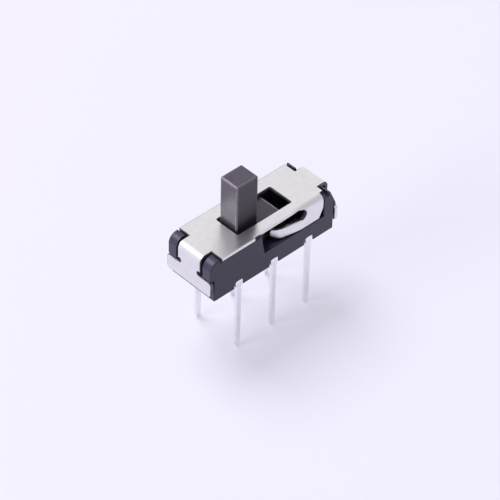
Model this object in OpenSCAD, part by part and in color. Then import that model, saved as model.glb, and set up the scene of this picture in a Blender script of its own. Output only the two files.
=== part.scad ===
// Miniature slide switch with two poles and two positions, for mounting through a board.
// The origin is on the seating face, at the centre of the pins. X runs along the lever's travel,
// Y across the switch with the spring arm on the negative side, and Z up towards the lever.

/* [Housing] */
// Length of the housing between its end faces
housing_l = 8.5; // [8.2:0.1:12]
// Width of the housing over its long side walls
housing_w = 3.22; // [3.1:0.02:5]
// Height of the housing's top face above the seating face
housing_h = 2.46; // [2.2:0.02:3.5]
// Thickness of the floor that holds the terminals
floor_t = 0.55; // [0.5:0.05:0.8]
// Width of each corner post across the switch
post_w = 0.63; // [0.5:0.01:0.72]
// Distance that each corner post reaches in from the end face
post_inset = 0.38; // [0.3:0.02:0.6]
// Distance that each left post stands out past the end face
post_overhang = 0.27; // [0.1:0.01:0.29]
// Height of the posts' undersides above the seating face
post_bottom = 1.46; // [1.2:0.02:1.7]
// Height of the posts' tops above the housing's top face
post_rise = 0.2; // [0.05:0.01:0.3]
// Radius of the round on the outer top edge of each left post
post_round = 0.6; // [0.2:0.02:0.6]
// Distance that each right post stands out past the end face
snap_overhang = 0.17; // [0.1:0.01:0.29]
// Length of the flat top of each right post, before its ramp
snap_top_l = 0.06; // [0.02:0.01:0.3]
// Height of the upright lip below each right post's ramp
snap_lip_h = 0.2; // [0.1:0.01:0.5]
// Radius of the round on the housing's top edge under each end flap
end_round = 0.38; // [0.2:0.02:0.6]

/* [Cover] */
// Thickness of the cover's sheet
sheet_t = 0.2; // [0.15:0.01:0.25]
// Distance that the cover's long edges stay in from the side walls
cover_inset = 0; // [0:0.01:0.1]
// Gap between the neck of each end flap and the posts beside it
neck_gap = 0.14; // [0.05:0.01:0.4]
// Gap between the corner notches and the posts, along the switch
notch_gap = 0.12; // [0.02:0.01:0.2]
// Inside radius of the bend at each end
end_bend_r = 0.18; // [0.1:0.01:0.3]
// Gap between the end flaps and the end faces
flap_gap = 0.09; // [0.06:0.01:0.15]
// Width of each end flap over its two ears
ear_w = 3.3; // [2.8:0.02:3.6]
// Height of the end flaps' lower edges above the seating face
ear_bottom = 0.45; // [0.1:0.05:0.8]
// Gap between the ears and the posts above them
ear_gap = 0.05; // [0.02:0.01:0.2]
// Radius of the ears' corners
ear_corner_r = 0.2; // [0.05:0.01:0.3]
// Radius of the reliefs between each neck and its ears
relief_r = 0.13; // [0.11:0.01:0.15]
// Distance of the reliefs' centres in from the neck's edges
relief_inset = 0.1; // [0:0.01:0.1]
// Radius of the window's corners
window_corner_r = 0.08; // [0.02:0.01:0.2]

/* [Spring arm] */
// Place of the side flange's free end along the switch
flange_end_x = 3.5; // [3:0.05:3.65]
// Place along the switch of the centre of the slot's round end
slot_end_x = 1.9; // [1.6:0.05:2.3]
// Place of the slot's open end along the switch
slot_open_x = -1.4; // [-2:0.05:-1]
// Distance that the cover's edge steps back along the slot
slot_step = 0.13; // [0.05:0.01:0.2]
// Height of the arm's lower edge above the seating face
arm_bottom = 1.25; // [1:0.01:1.5]
// Width of the arm, from its lower edge to its upper edge
arm_w = 0.63; // [0.4:0.01:0.7]
// Place of the arm's fold along the switch
arm_fold_x = 0.6; // [0.5:0.02:0.9]
// Distance that the arm leans in between its root and its fold
arm_lean = 0.2; // [0.1:0.01:0.25]
// Place of the arm's nose along the switch
nose_x = 0.25; // [0.1:0.01:0.4]
// Width of the nose at its end
nose_w = 0.4; // [0.2:0.01:0.5]
// Gap between the nose and the ridge on the slider
nose_gap = 0.04; // [0.03:0.01:0.1]
// Inside radius of the bend from the plate into the side flange
side_bend_r = 0.15; // [0.1:0.01:0.25]
// Height of the slanted lower corner of the side flange
flange_slant_h = 0.6; // [0.2:0.05:0.7]
// Length of the slanted lower corner of the side flange
flange_slant_l = 0.3; // [0.1:0.01:0.4]
// Length of the relief between the side flange and the corner notch, across the switch
flange_relief_w = 0.28; // [0.2:0.01:0.5]

/* [Recess for the arm] */
// Place along the switch of the recess's open end, past the nose
recess_x = -0.73; // [-1:0.01:-0.5]
// Gap around the arm and the flange in their recess
recess_gap = 0.04; // [0.02:0.01:0.1]

/* [Slider] */
// Distance between the two positions of the lever
travel = 2; // [1.5:0.1:2.2]
// Length of the lever along the travel
lever_l = 1.48; // [1:0.02:1.8]
// Width of the lever across the travel
lever_w = 1.28; // [1:0.02:1.4]
// Height of the lever's top above the cover
lever_rise = 2.84; // [1:0.02:6]
// Radius of the round on the lever's edges
lever_round = 0.1; // [0.04:0.01:0.2]
// Gap between the lever and the window's ends when the lever is at its stops
lever_end_gap = 0.16; // [0.05:0.01:0.25]
// Gap between the lever and the window's back edge
lever_back_gap = 0.06; // [0.05:0.01:0.2]
// Distance that the lever stands behind the centre line
lever_set_back = 0.1; // [0:0.01:0.12]
// Length of the carrier under the cover
carrier_l = 4.5; // [4.4:0.05:4.8]
// Width of the carrier under the cover
carrier_w = 1.8; // [1.7:0.02:2]
// Height of the carrier's underside above the seating face
carrier_bottom = 1.1; // [1:0.02:1.3]
// Gap between the carrier and the cover, the walls and the stops
slide_gap = 0.05; // [0.03:0.01:0.1]
// Depth of the detent notches in the carrier's side
detent_depth = 0.2; // [0.1:0.01:0.25]
// Length of each detent notch along the travel
detent_l = 0.6; // [0.4:0.02:0.8]

/* [Contact clips] */
// Thickness of the clips' strip
clip_t = 0.1; // [0.06:0.01:0.12]
// Width of the clips' strip
clip_w = 0.5; // [0.3:0.02:0.6]
// Distance of each clip from the centre line
clip_y = 0.55; // [0.45:0.01:0.6]
// Length of the flat bar that lies under the carrier
clip_bar_l = 1.1; // [0.8:0.05:1.6]
// Distance between the two feet of a clip
clip_foot_span = 2.5; // [2.3:0.05:2.7]
// Length of the upturned toe past each foot
clip_toe_l = 0.22; // [0.1:0.01:0.4]
// Height of the upturned toe
clip_toe_h = 0.12; // [0.05:0.01:0.2]
// Gap between the feet and the contact pads
foot_gap = 0.03; // [0.02:0.01:0.06]
// Diameter of the pegs that hold the clips
peg_d = 0.24; // [0.15:0.01:0.3]
// Gap between each peg and its clip
peg_gap = 0.02; // [0.01:0.005:0.04]

/* [Terminals] */
// Distance between neighbouring pins of a row
pin_pitch = 2.5; // [2:0.05:2.54]
// Distance between the two rows of pins
row_pitch = 3.04; // [2.9:0.02:3.06]
// Thickness of the terminals' strip
strip_t = 0.2; // [0.15:0.01:0.25]
// Width of each pin
pin_w = 0.3; // [0.2:0.02:0.45]
// Length of the pins below the seating face
pin_l = 4.35; // [2:0.05:6]
// Length of the taper at each pin's tip
pin_taper_l = 0.2; // [0.1:0.02:0.5]
// Width of the pins' tips
pin_tip_w = 0.2; // [0.1:0.02:0.24]
// Width of the shoulder above each pin
shoulder_w = 0.5; // [0.44:0.02:0.56]
// Width of each contact pad
pad_w = 0.9; // [0.8:0.02:1.1]
// Distance of the pads' inner edges from the centre line
pad_inner_y = 0.2; // [0.1:0.02:0.3]
// Distance of the pads' outer edges from the centre line
pad_outer_y = 1.1; // [1:0.02:1.2]
// Inside radius of the bend from each pad to its pin
strip_bend_r = 0.1; // [0.06:0.01:0.15]
// Gap between the terminals and their channels in the housing
strip_gap = 0.02; // [0.01:0.005:0.04]
// Width of the notch in the housing's edge around each shoulder
pin_notch_w = 0.62; // [0.6:0.02:0.9]
// Height of the notch in the housing's edge around each shoulder
pin_notch_h = 0.4; // [0.3:0.02:0.5]
// Radius of the notch's top corners
pin_notch_r = 0.2; // [0.05:0.01:0.25]

/* [Hidden] */
$fn = 64;
overrun = sheet_t;
// Largest part of a rectangle's side that one corner round takes up
round_share = 0.98;

// Faces of the housing and of the cover
end_x = housing_l / 2;
side_y = housing_w / 2;
cover_top = housing_h + sheet_t;
cover_w = housing_w - 2 * cover_inset;
window_l = travel + lever_l + 2 * lever_end_gap;
window_w = lever_w + 2 * (lever_set_back + lever_back_gap);
post_x = end_x - post_inset;
notch_x = post_x - notch_gap;
neck_w = housing_w - 2 * (post_w + neck_gap);
flap_x = end_x + flap_gap;
end_bend_x = flap_x - end_bend_r;
ear_top = post_bottom - ear_gap;
post_top = housing_h + post_rise;

// Cavity, slider and lever at rest, at the left stop
cavity_l = carrier_l + travel + 2 * slide_gap;
cavity_w = carrier_w + 2 * slide_gap;
carrier_top = housing_h - slide_gap;
lever_top = cover_top + lever_rise;
rest_x = -travel / 2;
detent_xs = [nose_x, nose_x - travel];

// Spring arm and side flange
arm_top = arm_bottom + arm_w;
slot_top = cover_top - slot_step;
slot_r = (slot_top - arm_top) / 2;
slot_y = -(cover_w / 2 - slot_step);
side_bend_y = -(side_y - sheet_t - side_bend_r);
side_bend_z = housing_h - side_bend_r;
arm_y = -(side_y - sheet_t / 2);
nose_y = -(carrier_w / 2 + nose_gap + sheet_t / 2);
arm_path = [
    [slot_end_x + slot_r, arm_y],
    [slot_end_x, arm_y],
    [arm_fold_x, arm_y + arm_lean],
    [nose_x, nose_y]
];
recess_bottom = arm_bottom - recess_gap;

// Terminals
pin_y = row_pitch / 2;
strip_bend_y = pin_y - strip_t / 2 - strip_bend_r;
strip_bend_z = floor_t - strip_t - strip_bend_r;

// Contact clips
clip_bar_z = carrier_bottom - clip_t / 2;
clip_foot_z = floor_t + foot_gap + clip_t / 2;
clip_half_path = [
    [0, clip_bar_z],
    [clip_bar_l / 2, clip_bar_z],
    [clip_foot_span / 2, clip_foot_z],
    [clip_foot_span / 2 + clip_toe_l, clip_foot_z + clip_toe_h]
];

// A flat shape drawn in X and Z, made solid along Y between two places.
module along_y(from_y, to_y) {
    translate([0, to_y, 0]) rotate([90, 0, 0]) linear_extrude(to_y - from_y) children();
}

// A flat shape drawn in Y and Z, made solid along X between two places.
module along_x(from_x, to_x) {
    translate([from_x, 0, 0]) rotate([90, 0, 90]) linear_extrude(to_x - from_x) children();
}

// The same thing at both ends of the switch.
module both_ends() {
    children();
    mirror([1, 0, 0]) children();
}

// The same thing on both sides of the switch.
module both_sides() {
    children();
    mirror([0, 1, 0]) children();
}

// A rectangle from one corner to the opposite one.
module span(low, high) {
    translate(low) square(high - low);
}

// A rectangle from one corner to the opposite one, with its top right corner rounded as far as it has room.
module span_round_right(low, high, r) {
    fit_r = min(r, round_share * (high[0] - low[0]), round_share * (high[1] - low[1]));
    span(low, [high[0] - fit_r, high[1]]);
    span(low, [high[0], high[1] - fit_r]);
    translate([high[0] - fit_r, high[1] - fit_r]) quarter_ring(0, fit_r);
}

// A rectangle about the origin with four round corners.
module round_rectangle(l, w, r) {
    square([l - 2 * r, w], center = true);
    square([l, w - 2 * r], center = true);
    for (x = [-1, 1], y = [-1, 1]) translate([x * (l / 2 - r), y * (w / 2 - r)]) circle(r);
}

// The upper right quarter of a ring, as a bend in a strip looks from its edge.
module quarter_ring(r_in, r_out) {
    intersection() {
        difference() {
            circle(r_out);
            circle(r_in);
        }
        square(r_out);
    }
}

// A strip of even thickness along a path, with round ends and round folds.
module bent_strip(points, t) {
    for (i = [0 : len(points) - 2]) {
        step = points[i + 1] - points[i];
        translate(points[i]) rotate(atan2(step[1], step[0])) translate([0, -t / 2]) square([norm(step), t]);
    }
    for (p = points) translate(p) circle(d = t);
}

// Housing

module housing_block() {
    along_y(-side_y, side_y) both_ends() span_round_right([0, 0], [end_x, housing_h], end_round);
}

// A left post seen from the front, drawn at the right: the cover's left flap is hooked under it first.
module hook_post_outline() {
    span_round_right([post_x, post_bottom], [end_x + post_overhang, post_top], post_round);
}

// A right post seen from the front: the cover's right flap slides down its ramp and snaps under its lip.
module snap_post_outline() {
    snap_x = end_x + snap_overhang;
    polygon([
        [post_x, post_bottom],
        [snap_x, post_bottom],
        [snap_x, post_bottom + snap_lip_h],
        [post_x + snap_top_l, post_top],
        [post_x, post_top]
    ]);
}

module corner_posts() {
    both_sides() along_y(side_y - post_w, side_y) {
        mirror([1, 0]) hook_post_outline();
        snap_post_outline();
    }
}

module slider_cavity() {
    translate([0, 0, floor_t]) linear_extrude(housing_h) square([cavity_l, cavity_w], center = true);
}

// Room for the side flange in the front wall, and the open wall that the arm works through.
module arm_recess() {
    along_y(-side_y - overrun, -side_y + sheet_t + recess_gap)
        span([slot_end_x, recess_bottom], [flange_end_x + recess_gap, side_bend_z]);
    along_x(slot_end_x, flange_end_x + recess_gap)
        translate([side_bend_y, side_bend_z]) mirror([1, 0])
            quarter_ring(side_bend_r - recess_gap / 2, side_bend_r + sheet_t + overrun);
    along_y(-side_y - overrun, 0)
        span([recess_x, recess_bottom], [slot_end_x + slot_r + sheet_t, cover_top]);
}

module terminal_channels() {
    both_sides() for (column = [-1, 0, 1]) translate([column * pin_pitch, 0, 0]) {
        terminal_shape(strip_gap);
        along_y(pin_y - strip_t / 2 - strip_gap, side_y + overrun) pin_notch();
    }
}

module pin_notch() {
    for (side = [0, 1]) mirror([side, 0])
        span_round_right([0, -overrun], [pin_notch_w / 2, pin_notch_h], pin_notch_r);
}

module housing() {
    color([0.21, 0.2, 0.24]) difference() {
        union() {
            housing_block();
            corner_posts();
        }
        slider_cavity();
        arm_recess();
        terminal_channels();
    }
}

// Cover

module window_outline() {
    round_rectangle(window_l, window_w, window_corner_r);
}

module plate_outline() {
    difference() {
        union() {
            square([2 * notch_x, cover_w], center = true);
            square([2 * end_bend_x, neck_w], center = true);
        }
        window_outline();
        span([slot_open_x, -side_y - overrun], [slot_end_x, slot_y]);
        span([slot_end_x, -side_y - overrun], [flange_end_x, side_bend_y]);
        span([flange_end_x, -side_y - overrun], [notch_x + overrun, -cover_w / 2 + flange_relief_w]);
    }
}

// An end flap seen along the switch: a neck between the posts and ears that reach under them.
module flap_outline() {
    difference() {
        union() {
            span([-neck_w / 2, ear_bottom], [neck_w / 2, cover_top]);
            translate([0, (ear_top + ear_bottom) / 2])
                round_rectangle(ear_w, ear_top - ear_bottom, ear_corner_r);
        }
        for (side = [0, 1]) mirror([side, 0])
            translate([neck_w / 2 - relief_inset, ear_top + relief_r]) circle(relief_r);
    }
}

// An end flap seen from the side: a stretch of the plate, the bend and the leg below it.
module flap_profile() {
    span([notch_x, housing_h], [end_bend_x, cover_top]);
    translate([end_bend_x, housing_h - end_bend_r]) quarter_ring(end_bend_r, end_bend_r + sheet_t);
    span([flap_x, ear_bottom], [flap_x + sheet_t, housing_h - end_bend_r]);
}

module end_flaps() {
    both_ends() intersection() {
        along_y(-ear_w / 2, ear_w / 2) flap_profile();
        along_x(notch_x, flap_x + sheet_t) flap_outline();
    }
}

// The side flange seen along the switch: a stretch of the plate, the bend and the leg below it.
module flange_profile() {
    span([side_bend_y, housing_h], [side_bend_y + side_bend_r, cover_top]);
    translate([side_bend_y, side_bend_z]) mirror([1, 0]) quarter_ring(side_bend_r, side_bend_r + sheet_t);
    span([-side_y, arm_bottom], [-side_y + sheet_t, side_bend_z]);
}

// The side flange seen from the front, with the slot's round end and the slanted lower corner.
module flange_outline() {
    difference() {
        polygon([
            [slot_end_x, arm_bottom],
            [flange_end_x - flange_slant_l, arm_bottom],
            [flange_end_x, arm_bottom + flange_slant_h],
            [flange_end_x, cover_top],
            [slot_end_x, cover_top]
        ]);
        translate([slot_end_x, arm_top + slot_r]) circle(slot_r);
    }
}

module side_flange() {
    intersection() {
        along_x(slot_end_x, flange_end_x) flange_profile();
        along_y(-side_y, 0) flange_outline();
    }
}

// The arm seen from the front, narrowing from its fold to its nose.
module arm_outline() {
    nose_end_x = nose_x - sheet_t;
    polygon([
        [slot_end_x + slot_r, arm_bottom],
        [slot_end_x, arm_top],
        [nose_end_x, arm_top],
        [nose_end_x, arm_top - nose_w],
        [arm_fold_x, arm_bottom]
    ]);
}

module spring_arm() {
    intersection() {
        translate([0, 0, arm_bottom]) linear_extrude(arm_w) bent_strip(arm_path, sheet_t);
        along_y(-side_y, 0) arm_outline();
    }
}

module cover() {
    color([0.86, 0.86, 0.87]) union() {
        translate([0, 0, housing_h]) linear_extrude(sheet_t) plate_outline();
        end_flaps();
        side_flange();
        spring_arm();
    }
}

// Slider

module lever() {
    shaft_h = lever_top - lever_round - carrier_bottom;
    translate([rest_x, lever_set_back, carrier_bottom]) {
        linear_extrude(shaft_h) round_rectangle(lever_l, lever_w, lever_round);
        translate([0, 0, shaft_h]) lever_crown();
    }
}

// The lever's top, with its upper edges rounded like its upright ones.
module lever_crown() {
    flat_l = lever_l - 2 * lever_round;
    flat_w = lever_w - 2 * lever_round;
    linear_extrude(lever_round) square([flat_l, flat_w], center = true);
    both_sides() translate([0, flat_w / 2, 0]) along_x(-flat_l / 2, flat_l / 2) quarter_ring(0, lever_round);
    both_ends() translate([flat_l / 2, 0, 0]) along_y(-flat_w / 2, flat_w / 2) quarter_ring(0, lever_round);
    both_sides() both_ends() translate([flat_l / 2, flat_w / 2, 0]) rotate_extrude(angle = 90)
        quarter_ring(0, lever_round);
}

module detent_notches() {
    for (x = detent_xs) translate([x, -carrier_w / 2, 0]) linear_extrude(housing_h)
        polygon([[-detent_l / 2, 0], [0, detent_depth], [detent_l / 2, 0], [0, -overrun]]);
}

module carrier() {
    difference() {
        translate([rest_x, 0, carrier_bottom]) linear_extrude(carrier_top - carrier_bottom)
            square([carrier_l, carrier_w], center = true);
        detent_notches();
    }
}

module clip_pegs() {
    both_sides() translate([rest_x, clip_y, carrier_bottom - clip_t]) cylinder(d = peg_d, h = 2 * clip_t);
}

module slider() {
    color([0.24, 0.23, 0.26]) union() {
        carrier();
        lever();
        clip_pegs();
    }
}

// Contact clips

module contact_clip(side) {
    color([0.8, 0.66, 0.42]) difference() {
        translate([rest_x, side * clip_y, 0]) along_y(-clip_w / 2, clip_w / 2)
            for (end = [0, 1]) mirror([end, 0]) bent_strip(clip_half_path, clip_t);
        translate([rest_x, side * clip_y, carrier_bottom - 2 * clip_t])
            cylinder(d = peg_d + 2 * peg_gap, h = 4 * clip_t);
    }
}

// Terminals

// A terminal seen along the switch: buried strip, bend and shoulder, grown by a gap for its channel.
module terminal_profile(gap) {
    span([pad_outer_y - strip_t, floor_t - strip_t - gap], [strip_bend_y, floor_t + gap]);
    translate([strip_bend_y, strip_bend_z]) quarter_ring(strip_bend_r - gap, strip_bend_r + strip_t + gap);
    span([pin_y - strip_t / 2 - gap, -gap], [pin_y + strip_t / 2 + gap, strip_bend_z]);
}

// A pin seen from the front, with its tapered tip.
module pin_outline() {
    polygon([
        [-pin_w / 2, 0],
        [-pin_w / 2, pin_taper_l - pin_l],
        [-pin_tip_w / 2, -pin_l],
        [pin_tip_w / 2, -pin_l],
        [pin_w / 2, pin_taper_l - pin_l],
        [pin_w / 2, 0]
    ]);
}

module terminal_shape(gap) {
    along_x(-shoulder_w / 2 - gap, shoulder_w / 2 + gap) terminal_profile(gap);
    translate([0, 0, floor_t - strip_t - gap]) linear_extrude(strip_t + 2 * gap)
        span([-pad_w / 2 - gap, pad_inner_y - gap], [pad_w / 2 + gap, pad_outer_y + gap]);
}

module terminal(column, row) {
    color([0.82, 0.81, 0.84]) mirror([0, row, 0]) translate([column * pin_pitch, 0, 0]) {
        terminal_shape(0);
        along_y(pin_y - strip_t / 2, pin_y + strip_t / 2) pin_outline();
    }
}

housing();
cover();
slider();
contact_clip(-1);  // contact_clip_front
contact_clip(1);  // contact_clip_back
terminal(-1, 1);  // terminal_front_left
terminal(0, 1);  // terminal_front_centre
terminal(1, 1);  // terminal_front_right
terminal(-1, 0);  // terminal_back_left
terminal(0, 0);  // terminal_back_centre
terminal(1, 0);  // terminal_back_right
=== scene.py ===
# %% [markdown]
# # A miniature slide switch, dressed in Blender
#
# The real part is a black moulded box under a folded nickel-plated cover. A square lever stands in the
# cover's window and slides along it. A narrow spring arm, cut from the cover, clicks it into two places, and
# six tinned pins come out below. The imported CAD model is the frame: it gives every place and size. Here each
# visible piece is modelled again, with the fine edges and smooth bends that the CAD solids lack.

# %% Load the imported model
import math

import bmesh
import bpy
from mathutils import Matrix, Vector


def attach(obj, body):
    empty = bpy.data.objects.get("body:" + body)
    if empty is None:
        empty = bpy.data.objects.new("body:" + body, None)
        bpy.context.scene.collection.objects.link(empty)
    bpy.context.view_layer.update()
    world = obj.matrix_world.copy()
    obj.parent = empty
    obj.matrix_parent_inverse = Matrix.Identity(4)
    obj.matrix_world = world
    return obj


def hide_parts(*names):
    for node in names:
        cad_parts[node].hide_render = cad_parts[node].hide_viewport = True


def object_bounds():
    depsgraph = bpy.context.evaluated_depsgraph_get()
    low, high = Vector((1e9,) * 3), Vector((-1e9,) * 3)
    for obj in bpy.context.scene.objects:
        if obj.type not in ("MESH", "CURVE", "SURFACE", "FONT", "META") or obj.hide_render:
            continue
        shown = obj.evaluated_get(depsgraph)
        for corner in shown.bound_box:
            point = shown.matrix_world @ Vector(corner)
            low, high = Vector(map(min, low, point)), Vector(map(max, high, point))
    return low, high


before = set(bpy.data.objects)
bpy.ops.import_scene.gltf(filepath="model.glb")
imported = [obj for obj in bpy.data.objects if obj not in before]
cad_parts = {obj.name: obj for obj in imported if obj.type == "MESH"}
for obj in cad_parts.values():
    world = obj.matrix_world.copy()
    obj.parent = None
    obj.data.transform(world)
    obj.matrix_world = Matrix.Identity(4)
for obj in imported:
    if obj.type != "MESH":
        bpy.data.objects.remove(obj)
cad_low, cad_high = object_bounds()
MM = 0.001
print("CAD nodes:", sorted(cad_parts))
print("CAD box in mm:", [round(v / MM, 2) for v in (*cad_low, *cad_high)])

# %% [markdown]
# ## Camera
#
# The camera stands in front of the switch and to its left, well above it, with a long lens, so that upright
# lines stay almost parallel. It could be turned by eye until the view looks right. Instead its angles and
# distance were fitted to points that are easy to find: the corners of the housing, the window and the lever,
# and the pin tips. It leans over by under two degrees, and the picture is square.

# %% Camera
ELEVATION, AZIMUTH, LEAN = (math.radians(v) for v in (42.31, 44.33, 1.43))
AIM_RIGHT, AIM_DOWN, DISTANCE = 0.1572 * MM, -0.0650 * MM, 134.0 * MM
FOCAL_SHARE = 5.1354
SENSOR = 36.0
CLIP_NEAR, CLIP_FAR = 10 * MM, 10.0

level_right = Vector((math.cos(AZIMUTH), -math.sin(AZIMUTH), 0))
forward = Vector((math.sin(AZIMUTH) * math.cos(ELEVATION), math.cos(AZIMUTH) * math.cos(ELEVATION),
                  -math.sin(ELEVATION)))
level_up = level_right.cross(forward)
right = math.cos(LEAN) * level_right + math.sin(LEAN) * level_up
up = math.cos(LEAN) * level_up - math.sin(LEAN) * level_right
eye = -(AIM_RIGHT * right - AIM_DOWN * up + DISTANCE * forward)

camera_data = bpy.data.cameras.new("camera")
camera_data.sensor_width = SENSOR
camera_data.lens = FOCAL_SHARE * SENSOR
camera_data.clip_start = CLIP_NEAR
camera_data.clip_end = CLIP_FAR
camera = bpy.data.objects.new("camera", camera_data)
camera.matrix_world = Matrix.Translation(eye) @ Matrix((right, up, -forward)).transposed().to_4x4()
bpy.context.scene.collection.objects.link(camera)
bpy.context.scene.camera = camera
print("camera in mm:", [round(v / MM, 1) for v in eye], "lens", round(camera_data.lens, 1))

# %% [markdown]
# ## Helpers for modelling by hand
#
# Blender's modelling operators act on what is selected. A person clicks on an edge, but a script has to say
# which edge it means, so these helpers select points, edges or faces by their place. Everything is modelled
# at one unit to the millimetre, because the bevel loses accuracy on edges of a few hundredths of a millimetre
# when a unit is a metre. Each finished piece is scaled to metres at the end.

# %% Selecting by place
NEAR = 0.002


def inside(value, wanted):
    """Whether a value is near the wanted one, or between the two values of a pair."""
    low, high = wanted if isinstance(wanted, tuple) else (wanted, wanted)
    return low - NEAR <= value <= high + NEAR


def at(x=None, y=None, z=None):
    """A test of a point: each given coordinate is near one value, or between the two values of a pair."""
    return lambda p: all(w is None or inside(v, w) for v, w in zip(p, (x, y, z)))


def object_mode():
    """Leaves edit mode, with nothing selected."""
    if bpy.context.object and bpy.context.object.mode != "OBJECT":
        bpy.ops.object.mode_set(mode="OBJECT")
    bpy.ops.object.select_all(action="DESELECT")


def select_only(piece):
    object_mode()
    piece.select_set(True)
    bpy.context.view_layer.objects.active = piece


def edit(piece):
    if piece.mode != "EDIT":
        select_only(piece)
        bpy.ops.object.mode_set(mode="EDIT")


def choose(piece, kind, wanted):
    """Edit mode, with only those points, edges or faces selected that wanted(item) accepts."""
    edit(piece)
    bpy.ops.mesh.select_mode(type=kind)
    bpy.ops.mesh.select_all(action="DESELECT")
    mesh = bmesh.from_edit_mesh(piece.data)
    items = {"VERT": mesh.verts, "EDGE": mesh.edges, "FACE": mesh.faces}[kind]
    chosen = [item for item in items if wanted(item)]
    for item in chosen:
        item.select_set(True)
    mesh.select_flush_mode()
    bmesh.update_edit_mesh(piece.data)
    return len(chosen)


def pick(piece, kind, *tests):
    """Selects the points, edges or faces whose corners all pass one of the tests."""
    def wanted(item):
        corners = [item] if kind == "VERT" else item.verts
        return any(all(test(corner.co) for corner in corners) for test in tests)

    return choose(piece, kind, wanted)


def pick_sharp(piece, least_degrees, skip=lambda middle: False):
    """Selects the outward-pointing edges that are sharper than an angle, unless skip(middle) holds."""
    def wanted(edge):
        middle = (edge.verts[0].co + edge.verts[1].co) / 2
        outward = len(edge.link_faces) == 2 and edge.is_convex
        return outward and not skip(middle) and edge.calc_face_angle() > math.radians(least_degrees)

    return choose(piece, "EDGE", wanted)


print("points count as the same within", NEAR, "mm")

# %% [markdown]
# The selection is then extruded, bent, bevelled or moved, as a modeller does with a few keys. A press folds
# sheet round an axis, and Blender's spin does just that, so bends are spins.

# %% Changing what is selected
def put(piece, test, place):
    """Moves each point that passes the test to where place(point) says."""
    edit(piece)
    mesh = bmesh.from_edit_mesh(piece.data)
    for point in mesh.verts:
        if test(point.co):
            point.co = place(point.co)
    bmesh.update_edit_mesh(piece.data)


def extrude(*move):
    bpy.ops.mesh.extrude_region_move(TRANSFORM_OT_translate={"value": move})


def bend(centre, axis, degrees, steps):
    """Sweeps the selection round an axis, as a press folds a sheet. Positive is right-handed."""
    bpy.ops.mesh.spin(steps=steps, angle=-math.radians(degrees), center=centre, axis=axis)


def round_off(radius, segments, affect="EDGES", finish_slot=-1):
    """Bevels the selection to a round, in the faces' own finish or in the one of a slot."""
    bpy.ops.mesh.bevel(offset=radius, offset_type="OFFSET", segments=segments, profile=0.5,
                       affect=affect, clamp_overlap=False, material=finish_slot)


def slice_at(piece, point, normal):
    edit(piece)
    bpy.ops.mesh.select_all(action="SELECT")
    bpy.ops.mesh.bisect(plane_co=point, plane_no=normal)


def give_slot(piece, finish_slot):
    """Gives the selected faces the finish of a slot."""
    piece.active_material_index = finish_slot
    bpy.ops.object.material_slot_assign()


print("edit helpers ready")

# %% [markdown]
# Pieces start as cubes or cylinders. Some are joined or cut with a Boolean modifier, which leaves lines on
# flat faces, so those are dissolved before any edge is rounded. Weighted normals keep large flats flat beside
# the small rounds, which plain smooth shading would blur.

# %% Starting, joining and finishing
SAME_POINT, FLAT_DEGREES = NEAR / 10, 0.2
SMOOTH_DEGREES, NORMAL_WEIGHT = 40, 50


def start_box(name, low, high):
    """A cube set to reach from one corner to the opposite one."""
    object_mode()
    middle = [(a + b) / 2 for a, b in zip(low, high)]
    bpy.ops.mesh.primitive_cube_add(size=1, location=middle)
    box = bpy.context.object
    box.name = box.data.name = name
    box.scale = [b - a for a, b in zip(low, high)]
    bpy.ops.object.transform_apply(location=True, rotation=True, scale=True)
    return box


def start_rod(name, radius, low, high, around):
    """A cylinder between two points, with a number of sides."""
    object_mode()
    low, high = Vector(low), Vector(high)
    bpy.ops.mesh.primitive_cylinder_add(vertices=around, radius=radius, depth=(high - low).length,
                                        location=(low + high) / 2)
    rod = bpy.context.object
    rod.name = rod.data.name = name
    rod.rotation_euler = (high - low).to_track_quat("Z", "Y").to_euler()
    bpy.ops.object.transform_apply(location=True, rotation=True, scale=True)
    return rod


def apply_modifier(piece, kind, **settings):
    select_only(piece)
    modifier = piece.modifiers.new(kind.lower(), kind)
    for name, value in settings.items():
        setattr(modifier, name, value)
    bpy.ops.object.modifier_apply(modifier=modifier.name)


def combine(piece, other, operation):
    """Cuts another shape out of a piece, or joins the two into one solid."""
    apply_modifier(piece, "BOOLEAN", object=other, operation=operation, solver="EXACT")
    bpy.data.objects.remove(other)


def cut_box(piece, low, high):
    combine(piece, start_box("cutter", low, high), "DIFFERENCE")


def merge_flats(piece):
    """Takes out the lines that cutting leaves on flat faces."""
    edit(piece)
    bpy.ops.mesh.select_all(action="SELECT")
    bpy.ops.mesh.remove_doubles(threshold=SAME_POINT)
    bpy.ops.mesh.dissolve_limited(angle_limit=math.radians(FLAT_DEGREES))
    bpy.ops.mesh.select_all(action="DESELECT")


def to_metres(piece):
    """Smooth shading that keeps flats flat, then the change from millimetres to metres."""
    select_only(piece)
    bpy.ops.object.shade_smooth_by_angle(angle=math.radians(SMOOTH_DEGREES))
    apply_modifier(piece, "WEIGHTED_NORMAL", mode="FACE_AREA", weight=NORMAL_WEIGHT, keep_sharp=True)
    piece.scale = (MM, MM, MM)
    bpy.ops.object.transform_apply(location=True, rotation=True, scale=True)
    size = [round(v / MM, 2) for v in piece.dimensions]
    triangles = sum(len(p.vertices) - 2 for p in piece.data.polygons)
    print(piece.name, "measures", size, "mm, with", triangles, "triangles")


print("shape helpers ready")

# %% [markdown]
# ## Housing
#
# The housing is one black moulding: a box with a well for the slider, and four corner posts that the cover
# snaps between. The left posts are hooks with rounded tops, and the right ones are ramps that end in a lip.
# One extruded outline can't hold both kinds, so the housing starts as a cube, and the posts are cubes with
# their own rounds that are joined on.

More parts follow.
